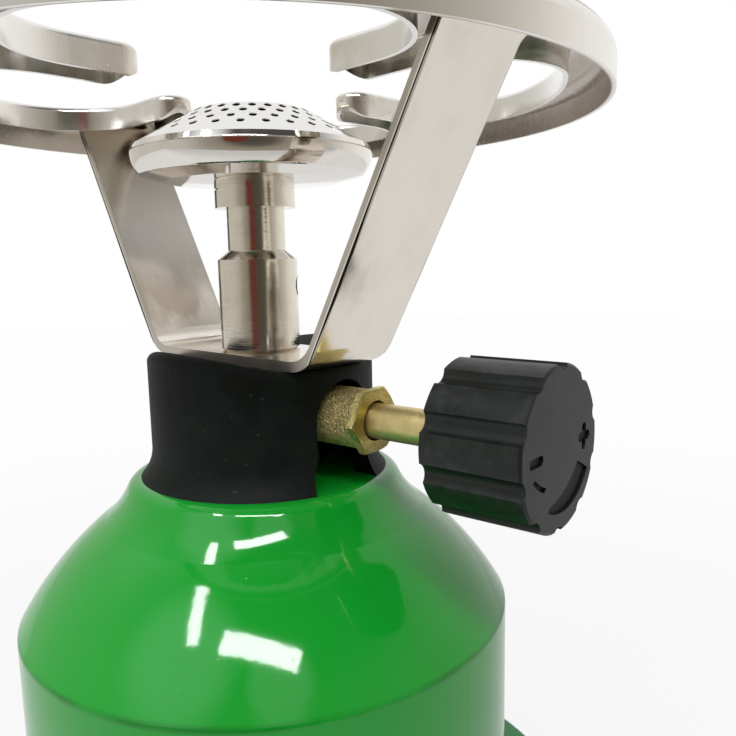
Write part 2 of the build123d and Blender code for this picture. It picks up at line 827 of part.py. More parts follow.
flange_foot_z = ring_top_z - ring_flange_h
with BuildPart() as ring_hollow:
    with BuildSketch(Plane.XY.offset(flange_foot_z)):
        offset(ring_outline.sketch, amount=-ring_t)
    extrude(amount=ring_flange_h - ring_t)
    hollow_edges = ring_hollow.edges().group_by(Axis.Z)[-1].sort_by(SortBy.LENGTH)
    fillet(hollow_edges[-1], radius=ring_edge_r - ring_t)
    fillet(ring_hollow.edges().group_by(Axis.Z)[-1].sort_by(SortBy.LENGTH)[:-1], radius=ring_lip_r - ring_t)

with BuildPart() as pot_ring:
    with BuildSketch(Plane.XY.offset(flange_foot_z)):
        add(ring_outline.sketch)
    extrude(amount=ring_flange_h)
    fillet(pot_ring.edges().group_by(Axis.Z)[-1].sort_by(SortBy.LENGTH)[-1], radius=ring_edge_r)
    fillet(pot_ring.edges().group_by(Axis.Z)[-1].sort_by(SortBy.LENGTH)[:-1], radius=ring_lip_r)
    add(ring_hollow.part, mode=Mode.SUBTRACT)
    revolve(tube_section(ring_r - ring_t, ring_r, ring_top_z - ring_band_h, flange_foot_z), Axis.Z)
    swept_r = finger_tip_r + finger_swept_in
    with BuildSketch(upright) as finger_end:
        with BuildLine():
            Polyline(
                (0, flange_foot_z - ring_t),
                (swept_r, flange_foot_z - ring_t),
                (swept_r, flange_foot_z),
                (finger_tip_r, flange_foot_z),
                (finger_tip_r, ring_top_z - ring_t),
                (0, ring_top_z - ring_t),
                close=True,
            )
        make_face()
        finger_corner = finger_end.vertices().sort_by_distance((finger_tip_r, flange_foot_z))[0]
        fillet(finger_corner, radius=ring_flange_h - ring_t - finger_corner_lift)
    revolve(axis=Axis.Z, mode=Mode.SUBTRACT)
    with BuildSketch(Plane.XY.offset(ring_top_z - ring_t).rotated(turned_to_bracket)):
        with Locations(*rivet_places):
            Circle(rivet_r + fit_gap)
    extrude(amount=ring_t, mode=Mode.SUBTRACT)
finish(pot_ring, "pot_ring")

# Gas jet in the spigot's mouth: thread, hexagon, tapered tip and a fine orifice
with BuildPart() as jet:
    jet_tip_z = spigot_top_z + jet_hex_h
    jet_thread_r = outlet_r - fit_gap
    revolve(tube_section(0, jet_thread_r, spigot_top_z - jet_thread_l, spigot_top_z), Axis.Z)
    with BuildSketch(Plane.XY.offset(spigot_top_z)):
        RegularPolygon(jet_hex_af / 2, 6, major_radius=False)
    extrude(amount=jet_hex_h)
    with BuildSketch(Plane.XY.offset(jet_tip_z)):
        Circle(jet_tip_r)
    extrude(amount=jet_tip_h, taper=jet_tip_angle)
    revolve(tube_section(0, gas_way_r, spigot_top_z - jet_thread_l, jet_tip_z), Axis.Z, mode=Mode.SUBTRACT)
    revolve(tube_section(0, jet_orifice_r, jet_tip_z, jet_tip_z + jet_tip_h), Axis.Z, mode=Mode.SUBTRACT)
finish(jet, "jet")

# Turned burner tube: screwed on the spigot, cross-drilled for air, rolled over inside the head
bowl_inside_z = bowl_z + head_t
tube_lip_r = tube_top_r + tube_lip_w
with BuildPart() as burner_tube:
    revolve(
        section(
            (
                (tube_bore_r, tube_foot_z),
                (tube_r - tube_foot_chamfer, tube_foot_z),
                (tube_r, tube_foot_z + tube_foot_chamfer),
                (tube_r, tube_foot_z + tube_foot_h),
                (tube_neck_r, tube_step_z),
                (tube_neck_r, ferrule_z),
                (tube_top_r, ferrule_z),
                (tube_top_r, bowl_inside_z),
                (tube_lip_r, bowl_inside_z),
                (tube_lip_r, bowl_inside_z + tube_lip_t),
                (tube_bore_r, bowl_inside_z + tube_lip_t),
            )
        ),
        Axis.Z,
    )
    jet_room_z = spigot_top_z + jet_hex_h + jet_tip_h
    revolve(tube_section(0, spigot_r + fit_gap, tube_foot_z, jet_room_z), Axis.Z, mode=Mode.SUBTRACT)
    with BuildSketch(Plane(origin=(0, 0, air_hole_z), z_dir=(*polar(1, air_hole_azimuth), 0))):
        Circle(air_hole_r)
    extrude(amount=2 * tube_r, both=True, mode=Mode.SUBTRACT)
finish(burner_tube, "burner_tube")

# Ferrule between the tube's step and the head, with one turned line round it
with BuildPart() as burner_ferrule:
    revolve(tube_section(tube_top_r + fit_gap, tube_r, ferrule_z, bowl_z), Axis.Z)
    line_z = ferrule_z + ferrule_line_h
    revolve(
        tube_section(tube_r - ferrule_line_w, tube_r, line_z, line_z + ferrule_line_w),
        Axis.Z,
        mode=Mode.SUBTRACT,
    )
finish(burner_ferrule, "burner_ferrule")

# Pressed bowl of the burner head: flat floor, raised band, short wall and a lip crimped inwards
with BuildPart() as burner_bowl:
    with BuildSketch(upright):
        with BuildLine():
            FilletPolyline(
                (tube_top_r + fit_gap, bowl_z),
                (tube_r, bowl_z),
                (bowl_r - bowl_floor_in, bowl_z + bowl_floor_rise),
                (bowl_r - bowl_band_in, bowl_z + bowl_band_h),
                (bowl_r, bowl_z + bowl_wall_h),
                (bowl_r, bowl_z + bowl_lip_h),
                (seam_r, seam_z),
                radius=[head_t, bowl_floor_bend_r, bowl_band_bend_r, bowl_wall_bend_r, head_t],
            )
            offset(amount=head_t, side=Side.LEFT)
        make_face()
    revolve(axis=Axis.Z)
finish(burner_bowl, "burner_bowl")

# Perforated dome: a cone with a rounded shoulder and a shallow crown, drilled in staggered rings
cone_end_r = bowl_r - dome_cone_in
cone_end_z = seam_z + (seam_r - cone_end_r) * tan(radians(dome_cone_angle))
crown_edge_r = cone_end_r - dome_shoulder_r * (sin(radians(dome_cone_angle)) - sin(radians(dome_crown_angle)))
crown_edge_z = cone_end_z + dome_shoulder_r * (cos(radians(dome_crown_angle)) - cos(radians(dome_cone_angle)))
dome_top_z = crown_edge_z + crown_edge_r * tan(radians(dome_crown_angle / 2))
with BuildPart() as burner_dome:
    with BuildSketch(upright):
        with BuildLine():
            cone = Line((seam_r, seam_z), (cone_end_r, cone_end_z))
            bend = TangentArc(cone @ 1, (crown_edge_r, crown_edge_z), tangent=cone % 1)
            TangentArc(bend @ 1, (0, dome_top_z), tangent=bend % 1)
            offset(amount=head_t, side=Side.LEFT)
        make_face()
    revolve(axis=Axis.Z)
    split(bisect_by=Plane.XY.offset(seam_z), keep=Keep.TOP)
    with BuildSketch(Plane.XY.offset(seam_z)):
        for row, (row_r, holes) in enumerate(dome_rows):
            stagger = (row % 2) * 180 / holes
            with PolarLocations(row_r, holes, start_angle=dome_row_start + stagger):
                Circle(dome_hole_r)
    extrude(amount=dome_top_z - seam_z, mode=Mode.SUBTRACT)
finish(burner_dome, "burner_dome")
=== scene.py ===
import math

import bpy
from mathutils import Matrix, Vector

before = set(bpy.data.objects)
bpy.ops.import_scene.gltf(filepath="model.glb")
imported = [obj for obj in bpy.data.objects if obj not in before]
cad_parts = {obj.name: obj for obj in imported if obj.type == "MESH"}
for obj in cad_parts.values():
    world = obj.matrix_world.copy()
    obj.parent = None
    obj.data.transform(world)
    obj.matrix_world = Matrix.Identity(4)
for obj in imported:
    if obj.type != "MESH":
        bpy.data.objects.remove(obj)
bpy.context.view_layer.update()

# ---------------------------------------------------------------- camera
# A hand-held close view from in front of the knob, a little above the collar, that looks slightly
# down and is tipped a little. The place is in metres in the stove's own frame, and the lens is
# for a 36 mm wide film.
CAMERA_PLACE = Vector((0.10804, -0.09963, 0.14428))
CAMERA_YAW = math.radians(39.07)
CAMERA_PITCH = math.radians(-8.54)
CAMERA_ROLL = math.radians(-1.15)
CAMERA_LENS = 36.09
NEAREST_SEEN = 0.005

camera = bpy.data.objects.new("camera", bpy.data.cameras.new("camera"))
bpy.context.scene.collection.objects.link(camera)
camera.data.lens = CAMERA_LENS
camera.data.clip_start = NEAREST_SEEN
looking = Vector((-math.sin(CAMERA_YAW) * math.cos(CAMERA_PITCH),
                  math.cos(CAMERA_YAW) * math.cos(CAMERA_PITCH),
                  math.sin(CAMERA_PITCH)))
level_right = Vector((math.cos(CAMERA_YAW), math.sin(CAMERA_YAW), 0))
level_up = level_right.cross(looking)
right = level_right * math.cos(CAMERA_ROLL) + level_up * math.sin(CAMERA_ROLL)
up = level_up * math.cos(CAMERA_ROLL) - level_right * math.sin(CAMERA_ROLL)
facing = Matrix((right, up, -looking)).transposed().to_4x4()
camera.matrix_world = Matrix.Translation(CAMERA_PLACE) @ facing
bpy.context.scene.camera = camera
bpy.context.scene.view_settings.view_transform = "Standard"


# ---------------------------------------------------------------- studio
# A small white table in a pale room. Bare metal mirrors the room, which darkens towards its front
# end and overhead and has one bright window. One soft box and one slit of light hang over the
# table.
class Wire:
    """A value that varies over a surface; arithmetic on it adds Math nodes."""

    def __init__(self, finish, socket):
        self.finish, self.socket = finish, socket

    def math(self, operation, *terms):
        return self.finish.node("ShaderNodeMath", {"operation": operation}, enumerate(terms))

    def __add__(self, other):
        return self.math("ADD", self, other)

    __radd__ = __add__

    def __sub__(self, other):
        return self.math("SUBTRACT", self, other)

    def __rsub__(self, other):
        return self.math("SUBTRACT", other, self)

    def __mul__(self, other):
        return self.math("MULTIPLY", self, other)

    __rmul__ = __mul__

    def over(self, limit):
        return self.math("GREATER_THAN", self, limit)

    def larger(self, other):
        return self.math("MAXIMUM", self, other)

    def smaller(self, other):
        return self.math("MINIMUM", self, other)

    def power(self, other):
        return self.math("POWER", self, other)

    def sine(self):
        return self.math("SINE", self)

    def size(self):
        return self.math("ABSOLUTE", self)

    def rise(self, start, end):
        """0 before start, 1 after end, and smooth between them."""
        return self.finish.node("ShaderNodeMapRange", {"interpolation_type": "SMOOTHSTEP"},
                                {"Value": self, "From Min": start, "From Max": end})

    def past(self, limit, blur):
        """0 before limit and 1 after it, blurred that far on each side."""
        return self.rise(limit - blur, limit + blur)


class Finish:
    """The nodes of one material, or of the room, and the place on it that they start from."""

    def __init__(self, owner, coordinates="Object"):
        owner.use_nodes = True
        self.owner, self.tree = owner, owner.node_tree
        self.tree.nodes.clear()
        self.place = self.node("ShaderNodeTexCoord", output=coordinates)

    def node(self, kind, settings=(), inputs=(), output=0):
        """One node: its settings first, then values or wires for its sockets."""
        made = self.tree.nodes.new(kind)
        for key, value in dict(settings).items():
            if key == "stops":
                ramp = made.color_ramp
                while len(ramp.elements) < len(value):
                    ramp.elements.new(0.5)
                for element, (position, colour) in zip(ramp.elements, value):
                    element.position = position
                    element.color = (*colour, 1)
            else:
                setattr(made, key, value)
        for key, value in dict(inputs).items():
            if isinstance(value, Wire):
                self.tree.links.new(value.socket, made.inputs[key])
            else:
                made.inputs[key].default_value = value
        return Wire(self, made.outputs[output]) if made.outputs else None

    def axes(self):
        """The x, y and z of the place."""
        parts = self.node("ShaderNodeSeparateXYZ", inputs={0: self.place})
        return [Wire(self, socket) for socket in parts.socket.node.outputs]

    def mix(self, share, first, second):
        """First colour where share is 0, second where it is 1."""
        first, second = (end if isinstance(end, Wire) else (*end, 1) for end in (first, second))
        return self.node("ShaderNodeMix", {"data_type": "RGBA"}, {0: share, 6: first, 7: second},
                         output=2)


LEFT_LIGHT, RIGHT_LIGHT = 0.84, 0.35
FROM_LEFT_START, FROM_LEFT_FULL = -0.6, 1.0
TO_FRONT_END, TO_LEFT_WALL = (0.735, -0.678, 0.0), (-0.90, -0.44, 0.0)
WHITE = (1.0, 1.0, 1.0)
# Each thing in the room: the way to it, the cosines at its edge and its middle, how much of the
# wall behind it it covers, and its colour.
LEFT_WALL = (TO_LEFT_WALL, (0.35, 0.90), 0.9, (0.60, 0.585, 0.53))
RED_CURTAIN = ((0.530, -0.848, 0.03), (0.975, 0.990), 1.0, (0.15, 0.035, 0.025))
WINDOW = ((-0.065, -0.740, 0.669), (0.890, 0.985), 0.9, (1.35, 1.4, 1.45))
LAMPSHADE = ((0.578, -0.485, 0.656), (0.965, 0.990), 0.9, WHITE)
WALLS_FROM_BACK_TO_FRONT = [
    (0.0, WHITE), (0.30, (0.93, 0.91, 0.88)), (0.42, (0.86, 0.83, 0.78)),
    (0.675, (0.53, 0.50, 0.45)), (0.86, (0.36, 0.33, 0.28)), (0.93, (0.28, 0.25, 0.20)),
    (0.97, (0.11, 0.10, 0.08)), (1.0, (0.08, 0.07, 0.055))]
CEILING_START, CEILING_FULL = 0.40, 0.80
CEILING_TURNS_DARK, CEILING_FALL, DARKEST_CEILING = 0.62, 3, 0.08

room = Finish(bpy.data.worlds.new("pale_room"), "Generated")
bpy.context.scene.world = room.owner


def toward(direction):
    """1 where the room is looked at straight along direction, -1 at the opposite wall."""
    return room.node("ShaderNodeVectorMath", {"operation": "DOT_PRODUCT"},
                     {0: room.place, 1: direction}, output="Value")


def grey(level):
    """The grey of that level, as a colour."""
    return room.node("ShaderNodeCombineColor", inputs={part: level for part in range(3)})


def hang(behind, direction, edge, share, colour):
    """The room behind, with one more thing in it."""
    return room.mix(toward(direction).rise(*edge) * share, behind, colour)


front = toward(TO_FRONT_END) * 0.5 + 0.5
walls = room.node("ShaderNodeValToRGB", {"stops": WALLS_FROM_BACK_TO_FRONT}, {0: front})
walls = hang(hang(walls, *LEFT_WALL), *RED_CURTAIN)
ceiling = (CEILING_TURNS_DARK - front) * CEILING_FALL + DARKEST_CEILING
ceiling = grey(ceiling.larger(DARKEST_CEILING).smaller(1.0))
mirrored = room.mix(room.axes()[2].rise(CEILING_START, CEILING_FULL), walls, ceiling)
mirrored = hang(hang(mirrored, *WINDOW), *LAMPSHADE)
straight = room.node("ShaderNodeLightPath", output="Is Camera Ray")
by_mirror = room.node("ShaderNodeLightPath", output="Is Glossy Ray")
through_glass = room.node("ShaderNodeLightPath", output="Is Transmission Ray")
from_left = toward(TO_LEFT_WALL).rise(FROM_LEFT_START, FROM_LEFT_FULL)
seen = room.mix(by_mirror, grey(from_left * (LEFT_LIGHT - RIGHT_LIGHT) + RIGHT_LIGHT), mirrored)
seen = room.mix(straight.larger(through_glass), seen, WHITE)
shine = room.node("ShaderNodeBackground", inputs={"Color": seen, "Strength": 1.0})
room.node("ShaderNodeOutputWorld", inputs={"Surface": shine})


def diagonal(first, second):
    """How far two lengths at right angles lead together."""
    return (first * first + second * second).power(0.5)


TABLE_SIZE, TABLE_FRONT = 1.8, 0.22
TABLE_WHITE = (0.52, 0.52, 0.515, 1)
# The table's own light, from 0 to 1: to the eye, what it gains far off, in bare metal, and what
# it loses there at its front.
SEEN_LIGHT, FAR_GAIN, MIRRORED_LIGHT, FRONT_LOSS = 0.88, 0.10, 0.70, 0.55
GAIN_START, GAIN_FULL = 0.07, 0.55
LOSS_START, LOSS_FULL = 0.03, 0.18
table_middle = [-part * (TABLE_SIZE / 2 - TABLE_FRONT) for part in TO_FRONT_END]
turned_to_front = -math.atan2(TO_FRONT_END[1], TO_FRONT_END[0])
bpy.ops.object.select_all(action="DESELECT")
bpy.ops.mesh.primitive_plane_add(size=TABLE_SIZE, location=(0, 0, 0))
bpy.ops.object.mode_set(mode="EDIT")
bpy.ops.mesh.select_all(action="SELECT")
bpy.ops.transform.translate(value=table_middle)
bpy.ops.transform.rotate(value=turned_to_front, orient_axis="Z", center_override=table_middle)
bpy.ops.object.mode_set(mode="OBJECT")
floor = bpy.context.object
floor.name = "floor"
table = Finish(bpy.data.materials.new("white_table"))
floor.data.materials.append(table.owner)
x, y = table.axes()[:2]
away = diagonal(x, y).rise(GAIN_START, GAIN_FULL)
forward = (x * TO_FRONT_END[0] + y * TO_FRONT_END[1]).rise(LOSS_START, LOSS_FULL)
matt = table.node("ShaderNodeBsdfDiffuse", inputs={"Color": TABLE_WHITE})
glow = table.node("ShaderNodeEmission", inputs={"Color": (*WHITE, 1), "Strength": 1.0})
straight = table.node("ShaderNodeLightPath", output="Is Camera Ray")
by_mirror = table.node("ShaderNodeLightPath", output="Is Glossy Ray")
share = straight * (away * FAR_GAIN + SEEN_LIGHT)
share = share.larger(by_mirror * (MIRRORED_LIGHT - forward * FRONT_LOSS))
mixed = table.node("ShaderNodeMixShader", inputs={0: share, 1: matt, 2: glow})
table.node("ShaderNodeOutputMaterial", inputs={"Surface": mixed})

LAMP_TARGET = Vector((0, 0, 0.1))


def aim(azimuth, elevation):
    """The direction from the burner to a place in the room, from its angles in degrees."""
    turn, climb = math.radians(azimuth), math.radians(elevation)
    return Vector((math.cos(climb) * math.cos(turn), math.cos(climb) * math.sin(turn),
                   math.sin(climb)))


def lamp(name, first, last, width, brightness):
    """A straight rectangular lamp a metre away, between two directions, that faces the burner."""
    run = aim(*last) - aim(*first)
    middle = (aim(*first) + aim(*last)) / 2
    side = run.normalized()
    back = (middle - side * middle.dot(side)).normalized()
    made = bpy.data.objects.new(name, bpy.data.lights.new(name, "AREA"))
    bpy.context.scene.collection.objects.link(made)
    made.data.shape = "RECTANGLE"
    made.data.size, made.data.size_y = run.length, width
    made.data.energy = brightness * math.pi * run.length * width
    turned = Matrix((side, back.cross(side), back)).transposed().to_4x4()
    made.matrix_world = Matrix.Translation(middle + LAMP_TARGET) @ turned


lamp("soft_box", (-75, 51), (-29, 44.8), width=0.135, brightness=21)
lamp("left_slit", (-90.5, 46), (-112, 62), width=0.08, brightness=20)


# ---------------------------------------------------------------- foot
# The foot is a round tray of green polypropylene with a raised ring that holds the can, moulded
# in one piece with ribs underneath. It has a fine spark-eroded grain and a few scuffs.
def grain(finish, spot, detail, stretch=(1, 1, 1)):
    """Random mottling in spots about that many metres across, longer where stretch is over 1."""
    scaled = finish.node("ShaderNodeMapping", inputs={
        "Vector": finish.place, "Scale": [1 / (spot * part) for part in stretch]})
    return finish.node("ShaderNodeTexNoise", inputs={
        "Vector": scaled, "Scale": 1.0, "Detail": detail})


def close(finish, colour, roughness, relief, depth, **others):
    """Ends a material: its relief is depth metres high, and others are sockets by name."""
    inputs = {"Base Color": colour, "Roughness": roughness}
    for name, value in others.items():
        inputs[name.replace("_", " ")] = value
    inputs["Normal"] = finish.node("ShaderNodeBump", inputs={
        "Height": relief, "Distance": depth, "Strength": 1.0})
    shader = finish.node("ShaderNodeBsdfPrincipled", inputs=inputs)
    finish.node("ShaderNodeOutputMaterial", inputs={"Surface": shader})


def dress(name, finish):
    """Gives a piece its finished material."""
    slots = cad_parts[name].data.materials
    slots.clear()
    slots.append(finish.owner)


MOULDED_GREEN, SCUFFED_GREEN = (0.022, 0.235, 0.058), (0.075, 0.30, 0.105)
foot = Finish(bpy.data.materials.new("green_polypropylene"))
cloud = grain(foot, spot=0.012, detail=3)
spark = grain(foot, spot=0.0004, detail=1)
scuff = grain(foot, spot=0.004, detail=4, stretch=(1, 5, 1)).rise(0.62, 0.75)
close(foot, colour=foot.mix(scuff * 0.35 + cloud * 0.2, MOULDED_GREEN, SCUFFED_GREEN),
      roughness=cloud * 0.12 + scuff * 0.15 + 0.34, relief=spark + scuff * 0.5, depth=0.00003)
dress("base_foot", foot)

# ---------------------------------------------------------------- foot pads, rubber ring and seal
# Four soft pads are pressed into the underside of the foot, a rubber ring under the can stops it
# from rattling, and a flat seal lies round the needle. All are dull black rubber, dusty in the
# hollows.
BLACK_RUBBER, RUBBER_DUST = (0.012, 0.013, 0.012), (0.045, 0.044, 0.040)
rubber = Finish(bpy.data.materials.new("dull_rubber"))
dust = grain(rubber, spot=0.003, detail=4).rise(0.45, 0.75)
close(rubber, colour=rubber.mix(dust, BLACK_RUBBER, RUBBER_DUST), roughness=dust * 0.2 + 0.6,
      relief=grain(rubber, spot=0.00035, detail=2), depth=0.00004)
for name in ("foot_pads", "support_ring", "cartridge_seal"):
    dress(name, rubber)

# ---------------------------------------------------------------- gas can
# The pierceable can is drawn tinplate, bare and bright, with rolling marks round its wall and a
# few dull stains. It stands in the foot's raised ring, under the housing.
TINPLATE, TIN_STAIN = (0.74, 0.74, 0.73), (0.60, 0.59, 0.56)
can = Finish(bpy.data.materials.new("bare_tinplate"))
rolled = grain(can, spot=0.0006, detail=2, stretch=(14, 14, 1))
stain = grain(can, spot=0.018, detail=4).rise(0.4, 0.8)
close(can, colour=can.mix(stain, TINPLATE, TIN_STAIN),
      roughness=rolled * 0.12 + stain * 0.1 + 0.18, relief=rolled, depth=0.00001, Metallic=1.0)
dress("cartridge", can)

# ---------------------------------------------------------------- housing
# The housing is a deep-drawn steel cup, wet-sprayed with thick bright green enamel. The paint
# is glossy with a slight orange peel, thins on the crease and has a few dust nibs; below the
# crease the drawing lines of the steel show through.
CREASE_HEIGHT, CREASE_FADE = 0.077, 0.002
CREASE_CORE, CREASE_REACH = 0.0002, 0.0009
DEEP_ENAMEL, LIGHT_ENAMEL = (0.0045, 0.285, 0.019), (0.007, 0.325, 0.027)
THIN_ENAMEL = (0.003, 0.13, 0.012)
enamel = Finish(bpy.data.materials.new("green_enamel"))
z = enamel.axes()[2]
cloud = grain(enamel, spot=0.020, detail=2)
peel = grain(enamel, spot=0.0024, detail=2)
drawn = grain(enamel, spot=0.0030, detail=3, stretch=(1, 1, 14))
nib = grain(enamel, spot=0.0013, detail=1).rise(0.77, 0.82)
below = 1 - z.rise(CREASE_HEIGHT - CREASE_FADE, CREASE_HEIGHT)
crease = 1 - (z - CREASE_HEIGHT).size().rise(CREASE_CORE, CREASE_REACH)
thin = crease * grain(enamel, spot=0.004, detail=2, stretch=(3, 3, 1)).rise(0.25, 0.7)
green = enamel.mix(cloud, DEEP_ENAMEL, LIGHT_ENAMEL)
close(enamel, colour=enamel.mix(thin * 0.7, green, THIN_ENAMEL),
      roughness=cloud * 0.05 + below * drawn * 0.10 + 0.045,
      relief=peel + below * drawn * 1.5 + nib * 2.0, depth=0.000012, IOR=1.52)
dress("housing", enamel)

# ---------------------------------------------------------------- valve body
# The valve body is a brass casting. Its side boss keeps the rough sand skin, full of small
# bright pits and grains, with darker oxide between them.
CAST_BRASS, BRASS_OXIDE, BRASS_PIT = (0.95, 0.79, 0.38), (0.55, 0.40, 0.13), (0.26, 0.17, 0.045)
cast = Finish(bpy.data.materials.new("cast_brass"))
lumps = grain(cast, spot=0.0007, detail=3)
sand = grain(cast, spot=0.00026, detail=2)
oxide = grain(cast, spot=0.0007, detail=4).rise(0.42, 0.68)
pits = grain(cast, spot=0.00042, detail=2).rise(0.54, 0.64)
skinned = cast.mix(oxide * 0.4, CAST_BRASS, BRASS_OXIDE)
close(cast, colour=cast.mix(pits * 0.5, skinned, BRASS_PIT),
      roughness=sand * 0.2 + pits * 0.15 + 0.20, relief=lumps * 0.7 + sand - pits * 0.8,
      depth=0.00036, Metallic=1.0)
dress("valve_body", cast)

# ---------------------------------------------------------------- lock nut and jet
# A plain nut clamps the housing to the valve from inside, and the gas jet is screwed into the
# mouth of the valve, under the burner tube. Both are machined from brass bar and a little
# tarnished.
MACHINED_BRASS, BRASS_TARNISH = (0.64, 0.48, 0.21), (0.38, 0.25, 0.09)
nut = Finish(bpy.data.materials.new("machined_brass"))
tool = grain(nut, spot=0.0003, detail=2, stretch=(6, 6, 1))
tarnish = grain(nut, spot=0.003, detail=4).rise(0.4, 0.75)
close(nut, colour=nut.mix(tarnish * 0.6, MACHINED_BRASS, BRASS_TARNISH),
      roughness=tool * 0.15 + tarnish * 0.15 + 0.16, relief=tool, depth=0.00002, Metallic=1.0)
dress("lock_nut", nut)
dress("jet", nut)

# ---------------------------------------------------------------- lock washer
# The washer under the lock nut is stamped from steel sheet and zinc plated, with a faint
# spangle.
ZINC_LIGHT, ZINC_BLUE = (0.62, 0.63, 0.62), (0.48, 0.50, 0.52)
zinc = Finish(bpy.data.materials.new("zinc_plate"))
spangle = grain(zinc, spot=0.0018, detail=3)
close(zinc, colour=zinc.mix(spangle, ZINC_LIGHT, ZINC_BLUE), roughness=spangle * 0.2 + 0.24,
      relief=grain(zinc, spot=0.0004, detail=2), depth=0.00001, Metallic=1.0)
dress("lock_washer", zinc)

# ---------------------------------------------------------------- piercing needle
# The hollow needle is ground from hardened steel and blued a little at its point, where it goes
# through the crown of the can. Its head is pressed into the valve's inlet.
BLUED_UP_TO, BLUED_FULLY = 0.088, 0.084
GROUND_STEEL, BLUED_STEEL = (0.60, 0.60, 0.60), (0.22, 0.25, 0.42)
needle = Finish(bpy.data.materials.new("ground_steel"))
ground = grain(needle, spot=0.00015, detail=2, stretch=(10, 10, 1))
blue = needle.axes()[2].rise(BLUED_UP_TO, BLUED_FULLY)
close(needle, colour=needle.mix(blue * 0.6, GROUND_STEEL, BLUED_STEEL),
      roughness=ground * 0.2 + 0.15, relief=ground, depth=0.00001, Metallic=1.0)
dress("piercing_needle", needle)

# ---------------------------------------------------------------- gas filter
# The filter is a small plug of grey wool felt, punched out and pushed into the valve's inlet
# over the needle's head. Its hairs lie mostly one way.
FELT_DARK, FELT_PALE = (0.18, 0.18, 0.17), (0.42, 0.41, 0.38)
felt = Finish(bpy.data.materials.new("grey_felt"))
hair = grain(felt, spot=0.00025, detail=5, stretch=(1, 4, 1))
close(felt, colour=felt.mix(hair, FELT_DARK, FELT_PALE), roughness=hair * 0.1 + 0.85,
      relief=hair, depth=0.0001)
dress("gas_filter", felt)

# ---------------------------------------------------------------- spindle
# The spindle is turned brass rod with a fine satin tool finish and a straw-brown tarnish. Its
# underside is painted shade: dark brown and less metallic.
VALVE_HEIGHT = 0.11577
ROD_SHADED_BELOW, ROD_UNSHADED_ABOVE = VALVE_HEIGHT - 0.0026, VALVE_HEIGHT - 0.0010
SATIN_BRASS, STRAW_TARNISH = (0.82, 0.68, 0.34), (0.60, 0.46, 0.18)
ROD_UNDERSIDE_SHADE = (0.115, 0.080, 0.040)
rod = Finish(bpy.data.materials.new("satin_brass"))
lines = grain(rod, spot=0.00014, detail=3, stretch=(1, 50, 50))
tarnish = grain(rod, spot=0.0022, detail=4).rise(0.4, 0.75)
# Painted shade: the underside of the spindle turns dark brown and less metallic.
shaded_underside = 1 - rod.axes()[2].rise(ROD_SHADED_BELOW, ROD_UNSHADED_ABOVE)
satin = rod.mix(tarnish * 0.4, SATIN_BRASS, STRAW_TARNISH)
close(rod, colour=rod.mix(shaded_underside * 0.85, satin, ROD_UNDERSIDE_SHADE),
      roughness=lines * 0.12 + tarnish * 0.12 + 0.34, relief=lines + tarnish * 2.0,
      depth=0.000020, Metallic=1 - shaded_underside * 0.75)
dress("spindle", rod)

# ---------------------------------------------------------------- spindle O-ring
# A moulded O-ring of soft black rubber seals the spindle in its bore. It is wet with grease, so
# it is smooth and fairly glossy.
OILED_BLACK, GREASE_BLACK = (0.010, 0.010, 0.010), (0.022, 0.022, 0.021)
oring = Finish(bpy.data.materials.new("oiled_rubber"))
film = grain(oring, spot=0.0008, detail=3)
close(oring, colour=oring.mix(film, OILED_BLACK, GREASE_BLACK), roughness=film * 0.2 + 0.2,
      relief=film, depth=0.00001)
dress("spindle_o_ring", oring)

# ---------------------------------------------------------------- gland packing
# The packing is a ring of woven graphite yarn round the spindle, squeezed by the gland nut. It
# is grey-black, with the twist of the yarn in its face.
YARN_DARK, YARN_SHEEN = (0.02, 0.02, 0.022), (0.10, 0.10, 0.105)
yarn = Finish(bpy.data.materials.new("graphite_yarn"))
twist = grain(yarn, spot=0.0003, detail=3, stretch=(4, 1, 1))
close(yarn, colour=yarn.mix(twist, YARN_DARK, YARN_SHEEN), roughness=twist * 0.2 + 0.45,
      relief=twist, depth=0.00008)
dress("gland_packing", yarn)

# ---------------------------------------------------------------- gland nut
# The gland nut is turned and milled from hexagon brass bar. The flats show saw-like milling
# lines and pits, the front keeps rough torn rings from a blunt facing tool, and the underside
# is painted shade: dull brown and less metallic.
NUT_FRONT, FRONT_EDGE = 0.0288, 0.0005
RINGS_PER_METRE = 14000
FLAT_SHADED_BELOW, FLAT_UNSHADED_ABOVE = VALVE_HEIGHT - 0.0050, VALVE_HEIGHT - 0.0025
BAR_BRASS, WORN_BRASS, BAR_PIT = (0.92, 0.79, 0.34), (0.60, 0.46, 0.13), (0.20, 0.14, 0.035)
NUT_UNDERSIDE_SHADE, TORN_FRONT = (0.14, 0.095, 0.035), (0.34, 0.255, 0.045)
gland = Finish(bpy.data.materials.new("hexagon_brass"))
x, y, z = gland.axes()
from_axis = diagonal(y, z - VALVE_HEIGHT)
rings = (from_axis * RINGS_PER_METRE).sine() * 0.5 + 0.5
ends = x.rise(NUT_FRONT - FRONT_EDGE, NUT_FRONT)
milled = grain(gland, spot=0.00022, detail=3, stretch=(1, 5, 5))
worn = grain(gland, spot=0.0013, detail=4).rise(0.45, 0.7)
pits = grain(gland, spot=0.00040, detail=2).rise(0.56, 0.66)
# Painted shade: the underside of the flats turns dull brown and less metallic.
shaded_underside = 1 - z.rise(FLAT_SHADED_BELOW, FLAT_UNSHADED_ABOVE)
brass = gland.mix(worn * 0.4, BAR_BRASS, WORN_BRASS)
brass = gland.mix(pits * 0.6, brass, BAR_PIT)
brass = gland.mix(shaded_underside * 0.7, brass, NUT_UNDERSIDE_SHADE)
torn_rings = rings * ends * grain(gland, spot=0.0006, detail=3)
close(gland, colour=gland.mix(ends * 0.8, brass, TORN_FRONT),
      roughness=milled * 0.18 + worn * 0.12 + 0.26, relief=milled - pits * 0.8 + torn_rings,
      depth=0.00010, Metallic=1 - shaded_underside * 0.7)
dress("gland_nut", gland)

